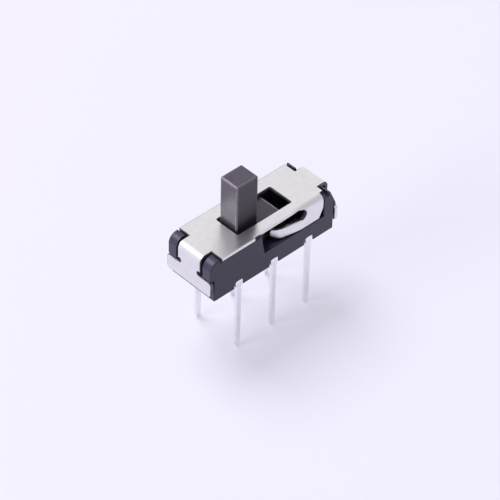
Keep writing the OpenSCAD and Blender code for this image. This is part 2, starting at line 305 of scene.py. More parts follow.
# %% Housing: block and posts
END_X, SIDE_Y, HOUSING_H, FLOOR_T = 4.25, 1.61, 2.46, 0.55
LEFT_ROUND, RIGHT_ROUND = 0.38, 0.55
POST_W, POST_INSET, POST_RISE, POST_LOW = 0.63, 0.38, 0.2, 1.46
POST_X, POST_Y, POST_TOP = END_X - POST_INSET, SIDE_Y - POST_W, HOUSING_H + POST_RISE
HOOK_REACH, HOOK_ROUND, HOOK_SIDE_ROUND = 0.27, 0.56, 0.09
SNAP_REACH, SNAP_LIP_H, SNAP_FLAT, SNAP_ROUND = 0.17, 0.2, 0.1, 0.12
HOOK_X, SNAP_X, SNAP_LIP = END_X + HOOK_REACH, END_X + SNAP_REACH, POST_LOW + SNAP_LIP_H


def hook_post(side):
    """A left post: its top is rounded over, and its front or back edge too."""
    def not_outer(p):
        return abs(p.y - side * SIDE_Y) > NEAR or p.x > -POST_X - NEAR or p.z < POST_LOW + NEAR

    ys = sorted((side * POST_Y, side * SIDE_Y))
    post = start_box("post", (-HOOK_X, ys[0], POST_LOW), (-POST_X, ys[1], POST_TOP))
    pick(post, "EDGE", at(x=-HOOK_X, z=POST_TOP))
    round_off(HOOK_ROUND, segments=16)
    pick_sharp(post, least_degrees=60, skip=not_outer)
    round_off(HOOK_SIDE_ROUND, segments=4)
    return post


def snap_post(side):
    """A right post: a ramp leads down to a lip that the cover's flap snaps under."""
    ys = sorted((side * POST_Y, side * SIDE_Y))
    post = start_box("post", (POST_X, ys[0], POST_LOW), (SNAP_X, ys[1], POST_TOP))
    slice_at(post, (0, 0, SNAP_LIP), (0, 0, 1))
    put(post, at(x=SNAP_X, z=POST_TOP), lambda p: Vector((POST_X + SNAP_FLAT, p.y, p.z)))
    pick(post, "EDGE", at(x=SNAP_X, z=SNAP_LIP))
    round_off(SNAP_ROUND, segments=5)
    return post


housing = start_box("housing_moulding", (-END_X, -SIDE_Y, 0), (END_X, SIDE_Y, HOUSING_H))
for x, radius in ((-END_X, LEFT_ROUND), (END_X, RIGHT_ROUND)):
    pick(housing, "EDGE", at(x=x, z=HOUSING_H))
    round_off(radius, segments=10)
for side in (-1, 1):
    combine(housing, hook_post(side), "UNION")
    combine(housing, snap_post(side), "UNION")
print("housing block with four posts:", len(housing.data.polygons), "faces")

# %% [markdown]
# The spring arm needs an opening in the front wall, the cover's side flange a shallow step beside it, and
# each pin a round-topped notch in the bottom edge. Inset and extruded faces could make these too, but boxes
# that are taken away, like the cores of the mould, keep each size by itself.

# %% Housing: well, opening for the arm, pin notches
CUT = 0.5
TRAVEL, SLIDE_GAP, CARRIER_X, CARRIER_Y = 2.0, 0.05, 2.25, 0.9
WELL_X, WELL_Y = CARRIER_X + TRAVEL / 2 + SLIDE_GAP, CARRIER_Y + SLIDE_GAP
SHEET_T, SLOT_STEP, SLOT_END, FLANGE_END = 0.2, 0.13, 1.9, 3.5
ARM_BOTTOM, ARM_W, ARM_GAP, ARM_LEFT = 1.25, 0.63, 0.04, -0.73
COVER_TOP, ARM_TOP = HOUSING_H + SHEET_T, ARM_BOTTOM + ARM_W
SLOT_R = (COVER_TOP - SLOT_STEP - ARM_TOP) / 2
ARM_FLOOR, ARM_RIGHT = ARM_BOTTOM - ARM_GAP, SLOT_END + SLOT_R + SHEET_T
FLANGE_RIGHT, FLANGE_BACK = FLANGE_END + ARM_GAP, SHEET_T + ARM_GAP - SIDE_Y
PIN_PITCH, PIN_Y, STRIP_T, STRIP_GAP = 2.5, 1.52, 0.2, 0.02
COLUMNS = (-PIN_PITCH, 0, PIN_PITCH)
NOTCH_HALF, NOTCH_H, NOTCH_ROUND, NOTCH_Y = 0.31, 0.4, 0.2, PIN_Y - STRIP_T / 2 - STRIP_GAP

cut_box(housing, (-WELL_X, -WELL_Y, FLOOR_T), (WELL_X, WELL_Y, HOUSING_H + CUT))
cut_box(housing, (ARM_LEFT, -SIDE_Y - CUT, ARM_FLOOR), (ARM_RIGHT, 0, HOUSING_H + CUT))
cut_box(housing, (SLOT_END, -SIDE_Y - CUT, ARM_FLOOR), (FLANGE_RIGHT, FLANGE_BACK, HOUSING_H + CUT))
for side in (-1, 1):
    for x in COLUMNS:
        ys = sorted((side * NOTCH_Y, side * (SIDE_Y + CUT)))
        notch = start_box("notch", (x - NOTCH_HALF, ys[0], -CUT), (x + NOTCH_HALF, ys[1], NOTCH_H))
        pick(notch, "EDGE", at(x=x - NOTCH_HALF, z=NOTCH_H), at(x=x + NOTCH_HALF, z=NOTCH_H))
        round_off(NOTCH_ROUND, segments=8)
        combine(housing, notch, "DIFFERENCE")
print("housing after its cuts:", len(housing.data.polygons), "faces")

# %% [markdown]
# The terminals are moulded in: a pad lies in the well's floor and a strip runs from it through the wall.
# Their pockets are cut before the edges are rounded. A mould never leaves a knife edge, so all edges that
# show get a small round, and the left corner of the arm's opening a large one. A bevel modifier would round
# the edges down in the well too, where nobody sees them, so the edges are selected by their place.

# %% Housing: pockets and edge rounds
PAD_IN, PAD_OUT, PAD_SIDE, SHOULDER_HALF = 0.2, 1.1, 0.45, 0.25
ROOM_HALF, ROOM_IN, ROOM_OUT = PAD_SIDE + STRIP_GAP, PAD_IN - STRIP_GAP, PAD_OUT + STRIP_GAP
ROOM_DEPTH, STRIP_ROOM_HALF, STRIP_ROOM_LOW = STRIP_T + STRIP_GAP, SHOULDER_HALF + STRIP_GAP, 0.2
ROOM_OVER, PAD_OVERLAP, NOTCH_OVERLAP = 0.02, 0.1, 0.01
EDGE_ROUND, OPENING_ROUND, STEP_ROUND = 0.045, 0.32, 0.13
SPARE = 0.01
HIDDEN_X, HIDDEN_Y, HIDDEN_LOW, HIDDEN_HIGH = 3.6, 1.42, SPARE, HOUSING_H - 2 * SPARE
OPENING_Y, OPENING_Z = -1.3, ARM_FLOOR - SPARE

for side in (-1, 1):
    for x in COLUMNS:
        ys = sorted((side * ROOM_IN, side * ROOM_OUT))
        cut_box(housing, (x - ROOM_HALF, ys[0], FLOOR_T - ROOM_DEPTH),
                (x + ROOM_HALF, ys[1], FLOOR_T + ROOM_OVER))
        ys = sorted((side * (ROOM_OUT - PAD_OVERLAP), side * (NOTCH_Y + NOTCH_OVERLAP)))
        cut_box(housing, (x - STRIP_ROOM_HALF, ys[0], STRIP_ROOM_LOW),
                (x + STRIP_ROOM_HALF, ys[1], FLOOR_T + ROOM_OVER))
merge_flats(housing)
pick(housing, "EDGE", at(x=(ARM_RIGHT, FLANGE_RIGHT), y=FLANGE_BACK, z=HOUSING_H))
round_off(STEP_ROUND, segments=4)
pick(housing, "EDGE", at(x=ARM_LEFT, y=-SIDE_Y, z=(ARM_FLOOR, HOUSING_H)))
round_off(OPENING_ROUND, segments=6)


def in_the_well(p):
    """Whether a point is hidden under the cover, and not at the opening for the arm."""
    under_cover = abs(p.x) < HIDDEN_X and abs(p.y) < HIDDEN_Y and HIDDEN_LOW < p.z < HIDDEN_HIGH
    return under_cover and not (p.y < OPENING_Y and p.z > OPENING_Z)


rounded = pick_sharp(housing, least_degrees=40, skip=in_the_well)
round_off(EDGE_ROUND, segments=3)
to_metres(housing)
print("rounded", rounded, "edges of the housing")

# %% [markdown]
# ## Finishes
#
# The switch has three dark plastics: housing, lever, and a paler one that is a painted highlight on the
# lever's edges and the carrier's end ramps. It has a plated sheet whose duller cut edge is also painted darker
# as shade, a tinned strip and a spring strip. Pictures could be wrapped on the pieces, but they blur close up.
# So each finish is built from noise in the piece's own coordinates, turned to millimetres, and its grain has
# its real size.

# %% Shader helpers
def feed(tree, socket, value):
    """Links an output to a socket, or sets the socket to a constant."""
    if isinstance(value, bpy.types.NodeSocket):
        tree.links.new(value, socket)
    else:
        socket.default_value = value


def add_node(tree, kind, inputs, **settings):
    """A new node with its settings, whose inputs, given by name or number, are linked or set."""
    node = tree.nodes.new("ShaderNode" + kind)
    for name, value in settings.items():
        setattr(node, name, value)
    for key, value in inputs.items():
        feed(tree, node.inputs[key], value)
    return node


print("shader helpers ready")

# %% A finish and its nodes
PER_MM = 1 / MM
NOISE_LOW, NOISE_HIGH = 0.3, 0.7


class Finish:
    """A material with the few nodes that every finish of this switch is made of."""

    def __init__(self, name):
        self.material = bpy.data.materials.new(name)
        self.material.use_nodes = True
        self.tree = self.material.node_tree
        self.place = add_node(self.tree, "TexCoord", {}).outputs["Object"]

    def set(self, socket, value):
        feed(self.tree, self.tree.nodes["Principled BSDF"].inputs[socket], value)

    def noise(self, per_mm, detail, stretch=(1, 1, 1)):
        """Noise with a number of lumps to the millimetre, drawn out along axes that get a smaller share."""
        to_mm = [PER_MM * share for share in stretch]
        mapping = add_node(self.tree, "Mapping", {"Vector": self.place, "Scale": to_mm})
        inputs = {"Vector": mapping.outputs["Vector"], "Scale": per_mm, "Detail": detail}
        return add_node(self.tree, "TexNoise", inputs).outputs["Fac"]

    def between(self, value, low, high):
        """A number that follows the middle of the noise's range from low to high."""
        inputs = {"Value": value, "From Min": NOISE_LOW, "From Max": NOISE_HIGH,
                  "To Min": low, "To Max": high}
        return add_node(self.tree, "MapRange", inputs).outputs["Result"]

    def colours(self, value, first, second):
        """A colour that follows the noise from the first to the second."""
        inputs = {"Factor": self.between(value, 0, 1), "A": (*first, 1), "B": (*second, 1)}
        return add_node(self.tree, "Mix", inputs, data_type="RGBA").outputs["Result"]

    def painted_shade_below(self, colour, low_mm, high_mm, share):
        """Painted shade: the colour, down to a share of it at a low height and whole from a greater height up.
        """
        height = add_node(self.tree, "SeparateXYZ", {"Vector": self.place}).outputs["Z"]
        inputs = {"Value": height, "From Min": low_mm * MM, "From Max": high_mm * MM,
                  "To Min": share, "To Max": 1}
        part = add_node(self.tree, "MapRange", inputs, interpolation_type="SMOOTHSTEP").outputs["Result"]
        return add_node(self.tree, "VectorMath", {0: colour, "Scale": part}, operation="SCALE").outputs[0]

    def bump(self, height, depth_mm, below=None):
        """A normal that follows the height, on top of another such normal if one is given."""
        inputs = {"Height": height, "Strength": 1.0, "Distance": depth_mm * MM}
        if below is not None:
            inputs["Normal"] = below
        return add_node(self.tree, "Bump", inputs).outputs["Normal"]


print("noise is read from", NOISE_LOW, "to", NOISE_HIGH)

# %% [markdown]
# Moulded plastic has the fine grain that spark erosion leaves in the mould, and faint waves where it flowed.
# Plated sheet keeps the rolling lines of its strip, under cloudy plating. One constant roughness would give a
# computer's shine, so the roughness of both follows noise as well.

# %% Plastic and metal
WAVE_MM, SWELL_MM = 0.004, 0.006


def plastic(name, dark, pale, rough, grain_mm, specular, painted_low_shade=None):
    """Moulded plastic with a spark-eroded grain, slow drifts of colour, faint flow waves and, if asked,
    painted shade towards the bottom.
    """
    finish = Finish(name)
    colour = finish.colours(finish.noise(per_mm=2.2, detail=4), dark, pale)
    finish.set("Base Color", finish.painted_shade_below(colour, *painted_low_shade) if painted_low_shade else colour)
    finish.set("Roughness", finish.between(finish.noise(per_mm=9, detail=5), *rough))
    waves = finish.bump(finish.noise(per_mm=1.6, detail=2), WAVE_MM)
    finish.set("Normal", finish.bump(finish.noise(per_mm=26, detail=4), grain_mm, waves))
    finish.set("Specular IOR Level", specular)
    return finish.material


def metal(name, first, second, rough, grain_mm, stretch, metallic=1.0):
    """Plated metal: rolling lines along the sheet, cloudy plating and a slightly uneven shine."""
    finish = Finish(name)
    finish.set("Metallic", metallic)
    finish.set("Base Color", finish.colours(finish.noise(per_mm=3.0, detail=5), first, second))
    finish.set("Roughness", finish.between(finish.noise(per_mm=6, detail=6, stretch=stretch), *rough))
    swell = finish.bump(finish.noise(per_mm=0.9, detail=2), SWELL_MM)
    finish.set("Normal", finish.bump(finish.noise(per_mm=9, detail=2, stretch=stretch), grain_mm, swell))
    return finish.material


housing_plastic = plastic("housing_plastic", dark=(0.020, 0.016, 0.042), pale=(0.030, 0.025, 0.056),
                          rough=(0.28, 0.38), grain_mm=0.0012, specular=0.47)
# The lever's colour is painted darker towards its foot, a painted shade.
lever_plastic = plastic("lever_plastic", dark=(0.062, 0.052, 0.074), pale=(0.076, 0.064, 0.089),
                        rough=(0.28, 0.38), grain_mm=0.0010, specular=0.38, painted_low_shade=(2.6, 4.4, 0.62))
# A paler plastic, painted on rounded edges and ramps as a highlight.
highlight_plastic = plastic("highlight_plastic", dark=(0.140, 0.120, 0.150), pale=(0.175, 0.152, 0.185),
                         rough=(0.22, 0.30), grain_mm=0.0006, specular=0.5)
nickel_sheet = metal("nickel_sheet", first=(0.76, 0.75, 0.76), second=(0.82, 0.81, 0.82),
                     rough=(0.29, 0.35), grain_mm=0.0004, stretch=(0.3, 1, 1))
# The cut edges: bare metal, duller than the plating, and painted much darker as well, a painted shade.
bare_and_shaded_edge = metal("bare_and_shaded_edge", first=(0.09, 0.08, 0.10), second=(0.17, 0.16, 0.18),
                     rough=(0.40, 0.56), grain_mm=0.0012, stretch=(1, 1, 0.2), metallic=0.6)
tinned_strip = metal("tinned_strip", first=(0.86, 0.84, 0.88), second=(0.92, 0.90, 0.94),
                     rough=(0.28, 0.42), grain_mm=0.0008, stretch=(1, 1, 0.15))
spring_strip = metal("spring_strip", first=(0.72, 0.53, 0.30), second=(0.80, 0.62, 0.38),
                     rough=(0.24, 0.36), grain_mm=0.0006, stretch=(0.15, 1, 1))
print("finishes:", [m.name for m in bpy.data.materials])

# %% [markdown]
# ## Cover
#
# The cover is one stamping of thin sheet. It could be put together from bent plates, but their joints would
# show, so it is modelled as its maker makes it: a flat blank is cut to shape, its ends are folded down over
# the housing, and one part of the front edge is folded into a side flange with the spring arm. Only the outer
# face is modelled, and Solidify then gives the sheet its thickness.

# %% Cover: plate and folded ends
CORNER_GAP, NECK_GAP, FLAP_GAP, EAR_GAP = 0.12, 0.14, 0.09, 0.05
CORNER_X, NECK_HALF = POST_X - CORNER_GAP, POST_Y - NECK_GAP
END_BEND_R, SIDE_BEND_R = 0.38, 0.35
FLAP_X = END_X + FLAP_GAP + SHEET_T
END_BEND_X = FLAP_X - END_BEND_R
EAR_TOP, EAR_BOTTOM, EAR_HALF, EAR_ROUND = POST_LOW - EAR_GAP, 0.45, 1.65, 0.2
SIDE_BEND_Y, SIDE_BEND_Z = SIDE_BEND_R - SIDE_Y, COVER_TOP - SIDE_BEND_R
SLOT_OPEN, SLOT_BLEND = -1.4, 1.3

object_mode()
bpy.ops.mesh.primitive_plane_add(size=1, location=(0, (SIDE_BEND_Y + SIDE_Y) / 2, COVER_TOP))
cover = bpy.context.object
cover.name = cover.data.name = "cover_sheet"
cover.scale = (2 * CORNER_X, SIDE_Y - SIDE_BEND_Y, 1)
bpy.ops.object.transform_apply(location=True, rotation=True, scale=True)
for y in (-NECK_HALF, NECK_HALF):
    slice_at(cover, (0, y, COVER_TOP), (0, 1, 0))
for x in (SLOT_OPEN, SLOT_BLEND, SLOT_END, FLANGE_END):
    slice_at(cover, (x, 0, COVER_TOP), (1, 0, 0))
for end in (-1, 1):
    pick(cover, "EDGE", at(x=end * CORNER_X, y=(-NECK_HALF, NECK_HALF)))
    extrude(end * (END_BEND_X - CORNER_X), 0, 0)
    bend((end * END_BEND_X, 0, COVER_TOP - END_BEND_R), (0, 1, 0), end * 90, steps=16)
    extrude(0, 0, EAR_TOP - (COVER_TOP - END_BEND_R))
    extrude(0, 0, EAR_BOTTOM - EAR_TOP)
    for side in (-1, 1):
        pick(cover, "EDGE", at(x=end * FLAP_X, y=side * NECK_HALF, z=(EAR_BOTTOM, EAR_TOP)))
        extrude(0, side * (EAR_HALF - NECK_HALF), 0)
        pick(cover, "VERT", at(x=end * FLAP_X, y=side * EAR_HALF))
        round_off(EAR_ROUND, segments=8, affect="VERTICES")
print("cover plate with folded ends:", len(bmesh.from_edit_mesh(cover.data).faces), "faces")

# %% [markdown]
# The front edge lies flat along most of the plate and rolls over into the flange at the right. Both begin
# with the same three short steps, so the flat part can flow into the rolled part over a short stretch without
# a tear. The slot between plate and arm could be punched out, but a cut through a bend leaves ragged faces.
# So the flange's rows follow the slot's round end, and their left ends are pulled onto that circle.

# %% Cover: front edge
SLOT_Y, SLOT_Z = SLOT_STEP - SIDE_Y, ARM_TOP + SLOT_R
LIP_STEPS = 3
lip_angle = math.asin((SIDE_BEND_Y - SLOT_Y) / SIDE_BEND_R)
bend_centre = (0, SIDE_BEND_Y, SIDE_BEND_Z)

lip_ys = [SIDE_BEND_Y - SIDE_BEND_R * math.sin(lip_angle * k / LIP_STEPS) for k in range(LIP_STEPS + 1)]
for y_from, y_to in zip(lip_ys, lip_ys[1:]):
    pick(cover, "EDGE", at(x=(-CORNER_X, SLOT_BLEND), y=y_from, z=COVER_TOP))
    extrude(0, y_to - y_from, 0)
pick(cover, "EDGE", at(x=(-CORNER_X, SLOT_OPEN), y=SLOT_Y, z=COVER_TOP))
extrude(0, -SIDE_Y - SLOT_Y, 0)

pick(cover, "EDGE", at(x=(SLOT_BLEND, FLANGE_END), y=SIDE_BEND_Y, z=COVER_TOP))
bend(bend_centre, (1, 0, 0), math.degrees(lip_angle), LIP_STEPS)
put(cover, at(x=SLOT_BLEND, y=(SLOT_Y, SIDE_BEND_Y)), lambda p: Vector((p.x, p.y, COVER_TOP)))
edit(cover)
bpy.ops.mesh.select_all(action="SELECT")
bpy.ops.mesh.remove_doubles(threshold=NEAR)
print("cover with its front edge:", len(bmesh.from_edit_mesh(cover.data).faces), "faces")

# %% Cover: side flange
SLANT = 0.3
ROUND_ROWS = 12


def onto_slot_end(p):
    """The point at the same height on the slot's round end."""
    return Vector((SLOT_END + math.sqrt(max(0, SLOT_R ** 2 - (p.z - SLOT_Z) ** 2)), p.y, p.z))


row_turns = [math.radians(90 - 180 * k / ROUND_ROWS) for k in range(ROUND_ROWS + 1)]
row_heights = [SLOT_Z + SLOT_R * math.sin(turn) for turn in row_turns]
rolled = [math.degrees(math.acos((z - SIDE_BEND_Z) / SIDE_BEND_R)) for z in row_heights if z > SIDE_BEND_Z]
turns = [math.degrees(lip_angle), (math.degrees(lip_angle) + rolled[0]) / 2, *rolled, 90]
lip_z = SIDE_BEND_Z + SIDE_BEND_R * math.cos(lip_angle)
pick(cover, "EDGE", at(x=(SLOT_END, FLANGE_END), y=SLOT_Y, z=lip_z))
for turn_from, turn_to in zip(turns, turns[1:]):
    bend(bend_centre, (1, 0, 0), turn_to - turn_from, steps=1)
height = SIDE_BEND_Z
for z in [z for z in row_heights if z < SIDE_BEND_Z] + [ARM_BOTTOM]:
    extrude(0, 0, z - height)
    height = z
put(cover, at(x=SLOT_END, y=(-SIDE_Y, SLOT_Y - NEAR), z=(ARM_TOP, SLOT_Z + SLOT_R)), onto_slot_end)
put(cover, at(x=FLANGE_END, z=ARM_BOTTOM), lambda p: Vector((p.x - SLANT, p.y, p.z)))
print("cover with its side flange:", len(bmesh.from_edit_mesh(cover.data).faces), "faces")

# %% [markdown]
# The arm runs left from the flange, leaning in a little, and folds towards the slider at its nose, which also
# narrows. Folded sheet keeps a round outside, so the fold and the nose's corners are bevelled into short
# curves before the sheet gets its thickness.

# %% Cover: spring arm and thickness
FOLD, NOSE = (0.559, -1.405), (0.110, -1.058)
NOSE_BOTTOM, FOLD_ROUND, TIP_ROUND = 1.5, 0.2, 0.13
PLATED, CUT_EDGE = 0, 1

pick(cover, "EDGE", at(x=SLOT_END, y=-SIDE_Y, z=(ARM_BOTTOM, ARM_TOP)))
extrude(FOLD[0] - SLOT_END, FOLD[1] + SIDE_Y, 0)
extrude(NOSE[0] - FOLD[0], NOSE[1] - FOLD[1], 0)
put(cover, at(x=NOSE[0], y=NOSE[1], z=ARM_BOTTOM), lambda p: Vector((p.x, p.y, NOSE_BOTTOM)))
pick(cover, "EDGE", at(x=FOLD[0], y=FOLD[1], z=(ARM_BOTTOM, ARM_TOP)))
round_off(FOLD_ROUND, segments=8)
pick(cover, "VERT", at(x=NOSE[0], y=NOSE[1]))
round_off(TIP_ROUND, segments=6, affect="VERTICES")
edit(cover)
bpy.ops.mesh.select_all(action="SELECT")
bpy.ops.mesh.normals_make_consistent(inside=False)
plate = max(bmesh.from_edit_mesh(cover.data).faces, key=lambda f: f.calc_area())
if plate.normal.z < 0:
    bpy.ops.mesh.flip_normals()
cover.data.materials.append(nickel_sheet)
cover.data.materials.append(bare_and_shaded_edge)
apply_modifier(cover, "SOLIDIFY", thickness=SHEET_T, offset=-1, use_even_offset=True,
               use_quality_normals=True, material_offset_rim=CUT_EDGE)
print("cover as a sheet:", len(cover.data.polygons), "faces")

# %% [markdown]
# The window and the small round reliefs beside the ears are punched through the flat parts of the sheet,
# where a cut is clean. The wall of each opening gets the cut edge's duller finish, partly painted shade, from
# the shape that cuts it.

# %% Cover: punched openings
LEVER_X, LEVER_FRONT, LEVER_BACK = 0.74, -0.54, 0.74
LEVER_END_GAP, LEVER_BACK_GAP, WINDOW_ROUND = 0.16, 0.06, 0.08
WINDOW_X, WINDOW_Y = TRAVEL / 2 + LEVER_X + LEVER_END_GAP, LEVER_BACK + LEVER_BACK_GAP
WINDOW_LOW, WINDOW_HIGH = 2.0, 3.0
RELIEF_R, RELIEF_INSET, RELIEF_FROM, RELIEF_TO = 0.13, 0.1, 4.1, 4.7
RELIEF_Y, RELIEF_Z = NECK_HALF - RELIEF_INSET, EAR_TOP + RELIEF_R
ROD_SIDES = 24


def punch(cutter):
    """Cuts an opening through the sheet, whose wall gets the cut edge's finish with its painted shade."""
    for finish in (nickel_sheet, bare_and_shaded_edge):
        cutter.data.materials.append(finish)
    for face in cutter.data.polygons:
        face.material_index = CUT_EDGE
    combine(cover, cutter, "DIFFERENCE")


window = start_box("window", (-WINDOW_X, -WINDOW_Y, WINDOW_LOW), (WINDOW_X, WINDOW_Y, WINDOW_HIGH))
pick(window, "EDGE", *(at(x=x, y=y) for x in (-WINDOW_X, WINDOW_X) for y in (-WINDOW_Y, WINDOW_Y)))
round_off(WINDOW_ROUND, segments=6)
object_mode()
punch(window)
for end in (-1, 1):
    for y in (-RELIEF_Y, RELIEF_Y):
        punch(start_rod("relief", RELIEF_R, (end * RELIEF_FROM, y, RELIEF_Z),
                        (end * RELIEF_TO, y, RELIEF_Z), ROD_SIDES))
print("cover with its openings:", len(cover.data.polygons), "faces")

# %% [markdown]
# A press rolls one side of each cut edge over a little, so every edge gets a small round, and the arm's upper
# edge a larger one. The sheet is cut from plated stock, which leaves its cut edges bare and duller, and their
# finish is also painted much darker, a painted shade. A few of them keep the plated finish, without that
# painted shade: the plate's front edge, the arm's upper edge and the sides of the right end's ears.

# %% Cover: edge rounds
CUT_ROUND, ARM_ROUND, BRIGHT_SHARE = 0.04, 0.075, 0.9
ARM_SPARE, ARM_EDGE_Y = 0.05, -0.9
BRIGHT_START = -CORNER_X + BRIGHT_SHARE * CUT_ROUND
BRIGHT_ARM_X, BRIGHT_ARM_Y = -0.2, -0.8

arm_edge = at(x=(0, SLOT_END - ARM_SPARE), y=(-SIDE_Y, ARM_EDGE_Y), z=ARM_TOP)
bright_front = at(x=(BRIGHT_START, SLOT_END + ARM_SPARE), y=(-SIDE_Y, SIDE_BEND_Y),
                  z=(COVER_TOP - 2 * SHEET_T, COVER_TOP))
bright_arm = at(x=(BRIGHT_ARM_X, SLOT_END), y=(-SIDE_Y, BRIGHT_ARM_Y),
                z=(ARM_TOP - 2 * CUT_ROUND, ARM_TOP))
bright_ears = [at(x=(FLAP_X - SHEET_T, FLAP_X), y=ys, z=(EAR_BOTTOM, EAR_TOP))
               for ys in ((-EAR_HALF, EAR_ROUND - EAR_HALF), (EAR_HALF - EAR_ROUND, EAR_HALF))]

merge_flats(cover)
pick_sharp(cover, least_degrees=45, skip=lambda p: not arm_edge(p))
round_off(ARM_ROUND, segments=4, finish_slot=PLATED)
pick_sharp(cover, least_degrees=45)
# The rounds take the cut edge's darker finish, which is partly painted shade.
round_off(CUT_ROUND, segments=3, finish_slot=CUT_EDGE)
bright = pick(cover, "FACE", bright_front, bright_arm, *bright_ears)
give_slot(cover, PLATED)
print("bright cut faces:", bright)
to_metres(cover)

# %% [markdown]
# ## Slider
#
# The lever and the carrier under the cover are one moulding. The carrier is a flat cube with two detent
# notches, which the spring arm's nose clicks into, and a shallow ramp at each end. A wedge with the notch's
# own slopes is cut out for each, which is simpler than pulling points of the carrier in.

# %% Slider: carrier
REST_X = -TRAVEL / 2
CARRIER_LOW, CARRIER_TOP, CARRIER_ROUND = 1.1, HOUSING_H - SLIDE_GAP, 0.04
DETENT_X, DETENT_DEPTH, DETENT_HALF, DETENT_TIP_SHARE = 0.25, 0.2, 0.3, 0.02
DETENT_LOW, DETENT_HIGH = 1.0, 3.0
RAMP_L, RAMP_DROP = 0.14, 0.045
HIGHLIGHT_SLOT = 1

slider = start_box("slider_moulding", (REST_X - CARRIER_X, -CARRIER_Y, CARRIER_LOW),
                   (REST_X + CARRIER_X, CARRIER_Y, CARRIER_TOP))
slider.data.materials.append(lever_plastic)
slider.data.materials.append(highlight_plastic)
for x in (DETENT_X, DETENT_X - TRAVEL):
    wedge = start_box("detent", (x - DETENT_HALF, -CARRIER_Y - DETENT_DEPTH, DETENT_LOW),
                      (x + DETENT_HALF, -CARRIER_Y, DETENT_HIGH))
    pick(wedge, "FACE", at(y=-CARRIER_Y))
    extrude(0, DETENT_DEPTH, 0)
    bpy.ops.transform.resize(value=(DETENT_TIP_SHARE, 1, 1))
    combine(slider, wedge, "DIFFERENCE")
merge_flats(slider)
for end in (-1, 1):
    end_x = REST_X + end * CARRIER_X
    ramp_x = end_x - end * RAMP_L
    slice_at(slider, (ramp_x, 0, 0), (1, 0, 0))
    put(slider, at(x=end_x, z=CARRIER_TOP), lambda p: Vector((p.x, p.y, p.z - RAMP_DROP)))
    pick(slider, "FACE", at(x=tuple(sorted((end_x, ramp_x))), z=(CARRIER_TOP - RAMP_DROP, CARRIER_TOP)))
    # The end ramps get the paler plastic, a painted highlight.
    give_slot(slider, HIGHLIGHT_SLOT)
pick_sharp(slider, least_degrees=40, skip=lambda p: p.z < CARRIER_LOW + SPARE)
round_off(CARRIER_ROUND, segments=3)
object_mode()
print("carrier:", len(slider.data.polygons), "faces")

# %% [markdown]
# The lever is a cube whose upright and top edges are rounded. The bevel gives those rounds the paler plastic
# as it makes them, a painted highlight. Two pegs under the carrier hold the contact clips.

# %% Slider: lever and pegs
LEVER_RISE, LEVER_ROUND, LEVER_FOOT = 2.84, 0.1, 0.2
LEVER_TOP = COVER_TOP + LEVER_RISE
PEG_R, PEG_Y, PEG_REACH = 0.12, 0.55, 0.1

lever = start_box("lever", (REST_X - LEVER_X, LEVER_FRONT, CARRIER_LOW + LEVER_FOOT),
                  (REST_X + LEVER_X, LEVER_BACK, LEVER_TOP))
lever.data.materials.append(lever_plastic)
lever.data.materials.append(highlight_plastic)
lever_sides = [(x, y) for x in (REST_X - LEVER_X, REST_X + LEVER_X) for y in (LEVER_FRONT, LEVER_BACK)]
pick(lever, "EDGE", at(z=LEVER_TOP), *(at(x=x, y=y) for x, y in lever_sides))
# The rounds get the paler plastic, a painted highlight.
round_off(LEVER_ROUND, segments=5, finish_slot=HIGHLIGHT_SLOT)
combine(slider, lever, "UNION")
for side in (-1, 1):
    peg = start_rod("peg", PEG_R, (REST_X, side * PEG_Y, CARRIER_LOW - PEG_REACH),
                    (REST_X, side * PEG_Y, CARRIER_LOW + PEG_REACH), ROD_SIDES)
    combine(slider, peg, "UNION")
merge_flats(slider)
to_metres(slider)

# %% [markdown]
# ## Terminals
#
# Each terminal is a stamped strip: a square pad in the well's floor, a neck that bends down through the side
# wall into a broad shoulder, and a narrow pin with a tapered tip. Boxes laid end to end would leave a gap at
# the bend, so one terminal is extruded and bent from its pad outwards. The other five are copies with their
# own meshes, turned round for the front row.

# %% Terminals: one strip
PIN_HALF, PIN_L, TAPER_L, TIP_SHARE, PIN_ROUND = 0.15, 4.35, 0.2, 2 / 3, 0.02
STRIP_BEND_R = 0.1
STRIP_BEND_Y, STRIP_BEND_Z = PIN_Y - STRIP_T / 2 - STRIP_BEND_R, FLOOR_T - STRIP_T - STRIP_BEND_R

terminal = start_box("terminal", (-PAD_SIDE, PAD_IN, FLOOR_T - STRIP_T), (PAD_SIDE, PAD_OUT, FLOOR_T))
for x in (-SHOULDER_HALF, SHOULDER_HALF):
    slice_at(terminal, (x, 0, 0), (1, 0, 0))
pick(terminal, "FACE", at(x=(-SHOULDER_HALF, SHOULDER_HALF), y=PAD_OUT))
extrude(0, STRIP_BEND_Y - PAD_OUT, 0)
bend((0, STRIP_BEND_Y, STRIP_BEND_Z), (1, 0, 0), -90, steps=10)
extrude(0, 0, -STRIP_BEND_Z)
for x in (-PIN_HALF, PIN_HALF):
    pick(terminal, "FACE", at(y=(PIN_Y - STRIP_T / 2, PIN_Y + STRIP_T / 2), z=(0, STRIP_BEND_Z)))
    bpy.ops.mesh.bisect(plane_co=(x, 0, 0), plane_no=(1, 0, 0))
pick(terminal, "FACE", at(x=(-PIN_HALF, PIN_HALF), z=0))
extrude(0, 0, TAPER_L - PIN_L)
extrude(0, 0, -TAPER_L)
bpy.ops.transform.resize(value=(TIP_SHARE, TIP_SHARE, 1))
merge_flats(terminal)
pick_sharp(terminal, least_degrees=15)
round_off(PIN_ROUND, segments=2)
to_metres(terminal)

